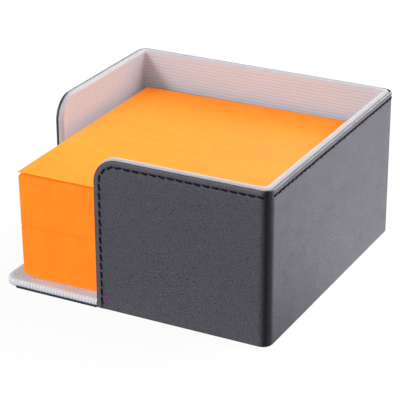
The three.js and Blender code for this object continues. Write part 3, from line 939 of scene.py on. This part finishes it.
class HOLDER_OT_note_pads(bpy.types.Operator):
    """Stacks the two note pads, whose sheets are not quite flush and whose corner is bent by use"""
    bl_idname = "holder.note_pads"
    bl_label = "Note pads"

    def execute(self, context):
        floor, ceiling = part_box("lower_note_pad")[0].z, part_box("upper_note_pad")[1].z
        # The seed of each pad's slips, and by how many millimetres its end layers stand back.
        for name, seed, uneven in (("lower", 11, {0: 0.35, 1: 0.2, 2: 0.1, -1: 0.1}),
                                   ("upper", 12, {0: 0.3, -2: 0.35, -1: 0.9})):
            self.pad(context.scene.holder_sizes, name, seed, uneven, floor, ceiling)
        return {"FINISHED"}

    def pad(self, sizes, name, seed, uneven, floor, ceiling):
        node = name + "_note_pad"
        low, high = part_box(node)
        chance = np.random.default_rng(seed)
        layers = int(round((high.z - low.z) / sizes.layer_height))
        near = np.array([
            0, 0.25, 0.5, 0.8, 1.2, 1.7, 2.4, 3.4, 5, 8, 14, 24, 40, 60, 76, 84, 88, 89.7, 90]) * MM
        span_x, span_y = high.x - low.x, high.y - low.y
        near_x, near_y = near * span_x / near[-1], near * span_y / near[-1]
        path = [(x, 0) for x in near_x[:-1]] + [(span_x, y) for y in near_y[:-1]]
        path += [(x, span_y) for x in near_x[:0:-1]] + [(0, y) for y in near_y[:0:-1]]
        path = np.array(path) + [low.x, low.y]
        middle = np.array([(low.x + high.x) / 2, (low.y + high.y) / 2])
        looseness = 0.012
        slip = chance.standard_normal((layers, 2)) * looseness * MM
        rings, heights = [], []
        for layer in range(layers):
            from_end = layer - layers if 2 * layer > layers else layer
            inset = looseness * MM + uneven.get(from_end, 0) * MM
            rings += [middle + (path - middle) * (1 - inset / (span_x / 2)) + slip[layer]] * 2
            heights += [low.z + (high.z - low.z) * edge / layers for edge in (layer, layer + 1)]
        # Smaller and smaller rings close the top, so that its corner can bend.
        for scale in (0.995, 0.985, 0.965, 0.93, 0.86, 0.6):
            rings.append(middle + (rings[2 * layers - 1] - middle) * scale)
            heights.append(high.z)
        points = np.column_stack([np.concatenate(rings), np.repeat(heights, len(path))])
        points = self.used(sizes, points, low, floor, ceiling)
        add_piece(name + "_pad_sheets", points, stack_faces(len(rings), len(path)), finishes()["paper"],
                  name + "_pad", [node], sharp=20)

    def used(self, sizes, points, low, floor, ceiling):
        """Twists the stack a little, leans its left side, and bends the corner at the cut-away."""
        x, y, z = points.T.copy()
        share = (z - floor) / (ceiling - floor)
        twist = sizes.block_twist * (1 - share)
        from_left, from_front = x - low.x, y - low.y
        x = low.x + from_left * np.cos(twist) - from_front * np.sin(twist)
        y = low.y + from_left * np.sin(twist) + from_front * np.cos(twist)
        reach = np.hypot(np.maximum(x - low.x, 0), np.maximum(y - low.y, 0))
        lean, top_bend, foot_bend = 0.5 * MM, 0.75 * MM, 1.1 * MM
        x = x + lean * (1 - share) * np.exp(-from_left / (25 * MM))
        z = z - top_bend * np.exp(-(reach / (1.1 * MM)) ** 1.5) * share ** 14
        z = z + foot_bend * np.exp(-(reach / (2.4 * MM))) * (1 - share) ** 10
        return np.column_stack([x, y, z])


class HOLDER_OT_loose_sheet(bpy.types.Operator):
    """Lays the loose sheet on top: turned a little, and not quite flat"""
    bl_idname = "holder.loose_sheet"
    bl_label = "Loose sheet"

    def execute(self, context):
        low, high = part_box("loose_top_sheet")
        side = high.x - low.x
        steps, thickness, gap = 45, 0.12 * MM, 0.04 * MM
        share = np.linspace(0, 1, steps + 1)
        across, back = np.meshgrid(share, share, indexing="ij")
        turn = context.scene.holder_sizes.sheet_turn
        corner_x, corner_y = low.x + 0.45 * MM, low.y - 0.22 * MM
        x = corner_x + side * (across * math.cos(turn) - back * math.sin(turn))
        y = corner_y + side * (across * math.sin(turn) + back * math.cos(turn))
        # The sheet waves a little, and rises at its back left and front left corners.
        rise = 0.07 * np.sin(5.2 * across + 0.5) * np.sin(4.1 * back + 0.9)
        rise += dent(1 - back, depth=0.10, width=0.2) * (1 - across)
        rise += 0.05 * np.exp(-((across ** 2 + back ** 2) / 0.02))
        z = low.z + gap + rise * MM
        top = np.stack([x, y, z + thickness], axis=2).reshape(-1, 3)
        bottom = np.stack([x, y, z], axis=2).reshape(-1, 3)
        grid = np.arange((steps + 1) ** 2).reshape(steps + 1, steps + 1)
        quads = grid_faces(grid)
        border = np.array([*grid[:, 0], *grid[-1, 1:], *grid[-2::-1, -1], *grid[0, -2:0:-1]])
        under = border + grid.size
        faces = quads.tolist() + (quads[:, ::-1] + grid.size).tolist()
        faces += np.column_stack([border, under, np.roll(under, -1), np.roll(border, -1)]).tolist()
        add_piece("loose_note", np.concatenate([top, bottom]), faces, finishes()["paper"], "loose_sheet",
                  ["loose_top_sheet"])
        return {"FINISHED"}


class HOLDER_OT_under_leather(bpy.types.Operator):
    """Builds the leather under the base, with soft edges darkened by edge paint and painted shade"""
    bl_idname = "holder.under_leather"
    bl_label = "Leather under the base"

    def execute(self, context):
        thickness = context.scene.holder_sizes.under_leather
        low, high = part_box("base_leather")
        # On the left it starts beside the cloth that is folded in under the base.
        folded_in = 4.5 * MM
        foot_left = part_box("base_lining")[0].x + folded_in
        end_x, end_y = front_wall_end - 0.1 * MM, left_wall_end
        behind_wall = cover_low.y + board_depth
        fold = outer_fold_radius - board_depth
        outline = rounded_outline([
            (foot_left, low.y, 1.2 * MM), (end_x, low.y, 0.3 * MM), (end_x, behind_wall, 0.0),
            (high.x, behind_wall, fold), (high.x, high.y, fold), (low.x, high.y, fold),
            (low.x, end_y, 0.3 * MM), (foot_left, end_y, 0.0)])
        inward = square_to(outline)
        round_edge = 0.06 * MM
        # The edge's section: how far in and how high each ring is, counted in radii of the round edge.
        turns = np.linspace(0, math.pi / 2, 4)
        lower = [(4, -1)] + [(1 - math.sin(turn), -math.cos(turn)) for turn in turns]
        upper = [(1 - math.cos(turn), math.sin(turn)) for turn in turns] + [(4, 1)]
        points = []
        for middle, section in ((round_edge, lower), (thickness - round_edge, upper)):
            for inset, side in section:
                ring = outline + inward * round_edge * inset
                points.append(np.column_stack([ring, np.full(len(ring), low.z + middle + side * round_edge)]))
        count = len(outline)
        painted = np.ones(len(points) * count)
        painted[:count] = painted[-count:] = 0
        still = np.zeros(len(painted))
        add_piece("leather_under_base", np.concatenate(points), stack_faces(len(points), count),
                  finishes()["leather"], "holder", ["base_leather"],
                  # The side edges are darkened by edge paint and painted shade.
                  {"stretched": still, "burnished": painted, "stained": 0.9 * painted, "creased": still})
        return {"FINISHED"}


class HOLDER_OT_boards(bpy.types.Operator):
    """Gives the boards inside the covers their finish"""
    bl_idname = "holder.boards"
    bl_label = "Boards"

    def execute(self, context):
        for node in ("base_board", "front_board", "right_board", "back_board", "left_board"):
            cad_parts[node].material_slots[0].material = finishes()["greyboard"]
        return {"FINISHED"}


class HOLDER_OT_studio(bpy.types.Operator):
    """Sets the stage: a white floor, soft lamps, and a camera at the photograph's angle"""
    bl_idname = "holder.studio"
    bl_label = "Studio"

    def execute(self, context):
        scene = context.scene
        scene.view_settings.view_transform = "Standard"
        self.camera(scene)
        self.floor(scene, gleam=2.3)
        self.world(scene, ambient=0.075, gleam_front=0.055, gleam_back=0.04)
        # Each lamp's name, the direction it stands in, its distance and its width in metres, and its watts.
        for lamp in (("front_softbox", (-0.36, -0.83, 0.42), 1.6, 0.34, 13.5),
                     ("fill_softbox", (0.06, -0.90, 0.42), 1.6, 1.0, 9.2),
                     ("left_softbox", (-0.85, -0.35, 0.40), 1.6, 1.0, 7.3),
                     ("key_softbox", (-0.495, -0.48, 0.724), 2.4, 0.55, 5.5),
                     ("back_softbox", (0.10, 0.90, 0.45), 1.6, 1.0, 33.5),
                     ("right_softbox", (0.55, 0.45, 0.70), 1.4, 0.8, 14.0),
                     ("side_softbox", (0.70, 0.10, 0.71), 1.4, 0.9, 6.5)):
            self.lamp(scene, *lamp)
        return {"FINISHED"}

    def camera(self, scene):
        """A camera fitted to the edges of the block and the holder in the photograph."""
        azimuth, elevation, roll = math.radians(27.66), math.radians(23.99), math.radians(-0.21)
        place = Vector((248.28, -473.46, 259.02)) * MM
        back = Vector((math.sin(azimuth) * math.cos(elevation), -math.cos(azimuth) * math.cos(elevation),
                       math.sin(elevation)))
        right = Vector((math.cos(azimuth), math.sin(azimuth), 0))
        level = Matrix((right, back.cross(right), back)).transposed()
        data = bpy.data.cameras.new("photo_camera")
        data.lens = 152.77
        data.sensor_width = 36
        camera = bpy.data.objects.new("photo_camera", data)
        camera.matrix_world = Matrix.Translation(place) @ (level @ Matrix.Rotation(roll, 3, "Z")).to_4x4()
        scene.collection.objects.link(camera)
        scene.camera = camera

    def floor(self, scene, gleam):
        half_width, lines = 3.0, 13
        steps = np.linspace(-half_width, half_width, lines)
        points = [(x, y, -0.02 * MM) for x in steps for y in steps]
        faces = grid_faces(np.arange(lines ** 2).reshape(lines, lines)).tolist()
        mesh = bpy.data.meshes.new("studio_floor")
        mesh.from_pydata(points, [], faces)
        mesh.materials.append(white_sweep(gleam))
        floor = bpy.data.objects.new("studio_floor", mesh)
        scene.collection.objects.link(floor)

    def world(self, scene, ambient, gleam_front, gleam_back):
        """A white backdrop that lights the holder with an even, weak light.

        Reflections see it a little brighter on the camera's side than behind the holder.
        """
        world = bpy.data.worlds.new("studio_air")
        world.use_nodes = True
        world.node_tree.nodes.clear()
        add = partial(add_node, world.node_tree)
        camera_ray, glossy_ray = (add("LightPath", {}, ray) for ray in ("Is Camera Ray", "Is Glossy Ray"))
        direction = add("TexCoord", {}, "Generated")
        backward = add("VectorMath", {
            "operation": "DOT_PRODUCT", 0: direction, 1: [0.30, 0.85, 0.43]}, "Value")
        gleam = add("MapRange", {
            "From Min": -0.5, "From Max": 0.9, "To Min": gleam_front, "To Max": gleam_back,
            "Value": backward})
        lit = add("Mix", {0: glossy_ray, 2: ambient, 3: gleam})
        seen = add("Mix", {0: camera_ray, 2: lit, 3: 1.0})
        air = add("Background", {"Color": [1, 1, 1, 1], "Strength": seen})
        add("OutputWorld", {"Surface": air})
        scene.world = world

    def lamp(self, scene, name, direction, distance, width, watts):
        data = bpy.data.lights.new(name, "AREA")
        data.shape = "DISK"
        data.size = width
        data.energy = watts
        lamp = bpy.data.objects.new(name, data)
        toward = Vector(direction).normalized()
        holder_middle = Vector((0, 0, 25 * MM))
        lamp.location = toward * distance + holder_middle
        lamp.rotation_euler = toward.to_track_quat("Z", "Y").to_euler()
        scene.collection.objects.link(lamp)


made_finishes = {}


def finishes():
    """The materials, made once."""
    if not made_finishes:
        scene = bpy.context.scene
        sizes, colours = scene.holder_sizes, scene.holder_colours
        made_finishes.update({
            "leather": grained_leather(colours, sizes.grain_width),
            "cloth": ribbed_cloth(colours, sizes.cloth_thread),
            "thread": waxed_thread(colours),
            "greyboard": greyboard(colours),
            "paper": dyed_paper(colours, sizes.layer_height),
        })
    return made_finishes


class HolderSizes(bpy.types.PropertyGroup):
    """Sizes of the details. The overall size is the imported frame's."""
    seam_inset: length("Seam inset", "From the free edge of the strip to the seam", 2.12)
    stitch_pitch: length("Stitch pitch", "From the start of a stitch to the start of the next", 3.15)
    stitch_gap: length("Stitch gap", "Between the needle holes of two stitches", 0.85)
    stitch_slant: length("Stitch slant", "How far each end of a stitch lies off the seam line", 0.34)
    thread_width: length("Thread width", "Diameter of the sewing thread", 0.58)
    edge_roll: length("Edge roll", "Radius of the leather's rolled edge", 0.55)
    under_leather: length("Under leather", "Thickness of the leather under the base", 0.33)
    grain_width: length("Grain width", "Width of a pebble of the leather's grain", 0.48)
    cord_pitch: length("Cord pitch", "From a cord of the cloth to the next", 1.2)
    cord_height: length("Base cord height", "How far the cords on the base stand above the hollows", 0.13)
    wall_cord_height: length("Wall cord height", "How far the cords on the walls stand above the hollows",
                             0.055)
    rim_rise: length("Rim rise", "How far the cloth stands proud of the boards' rim", 0.4)
    cloth_thread: length("Cloth thread", "Spacing of the fine threads across the cords", 0.15)
    layer_height: length("Layer height", "Height of a drawn layer of sheets in a pad", 0.3)
    block_twist: FloatProperty(name="Block twist", description="How far the lowest sheets are turned",
                               default=math.radians(1.4), subtype="ANGLE")
    sheet_turn: FloatProperty(name="Sheet turn", description="How far the loose sheet is turned",
                              default=math.radians(0.8), subtype="ANGLE")


class HolderColours(bpy.types.PropertyGroup):
    """Colours of the finishes."""
    leather: colour("Leather", "Charcoal pigment on the hide", "#4E4C58")
    # The lighter tone: the hide's cloudy drift, and a painted highlight along the rolled edges.
    leather_cloud_and_highlight: colour("Leather edge", "Stretched leather along the rolled edges", "#5E5965")
    cloth: colour("Cloth", "Crowns of the cords", "#D0D1DA")
    # Painted shade: the hollows between the cords are drawn in this darker colour.
    cloth_hollow_shade: colour("Cloth hollows", "Between the cords", "#A2A1A5")
    thread: colour("Thread", "Waxed sewing thread", "#1C171B")
    greyboard: colour("Greyboard", "Boards inside the covers", "#9C917F")
    paper: colour("Paper", "Face of a note", "#FF8D12")
    paper_edge: colour("Paper edge", "Cut edges between the sheets", "#FF7C0B")


class HOLDER_PT_pieces(bpy.types.Panel):
    """Lists the pieces of the note holder"""
    bl_idname = "HOLDER_PT_pieces"
    bl_label = "Note holder"
    bl_space_type = "VIEW_3D"
    bl_region_type = "UI"
    bl_category = "Note holder"

    def draw(self, context):
        for group in (context.scene.holder_sizes, context.scene.holder_colours):
            for name in group.__annotations__:
                self.layout.prop(group, name)
        for step in steps_of_making:
            self.layout.operator(step.bl_idname)


steps_of_making = (
    HOLDER_OT_studio,
    HOLDER_OT_leather_cover,
    HOLDER_OT_seam_stitches,
    HOLDER_OT_wall_lining,
    HOLDER_OT_base_lining,
    HOLDER_OT_note_pads,
    HOLDER_OT_loose_sheet,
    HOLDER_OT_under_leather,
    HOLDER_OT_boards,
)
classes = (HolderSizes, HolderColours, *steps_of_making, HOLDER_PT_pieces)


def register():
    for kind in classes:
        bpy.utils.register_class(kind)
    bpy.types.Scene.holder_sizes = PointerProperty(type=HolderSizes)
    bpy.types.Scene.holder_colours = PointerProperty(type=HolderColours)


def unregister():
    del bpy.types.Scene.holder_colours
    del bpy.types.Scene.holder_sizes
    for kind in reversed(classes):
        bpy.utils.unregister_class(kind)


def main():
    register()
    for step in steps_of_making:
        group, name = step.bl_idname.split(".")
        getattr(getattr(bpy.ops, group), name)()


if __name__ == "__main__":
    main()
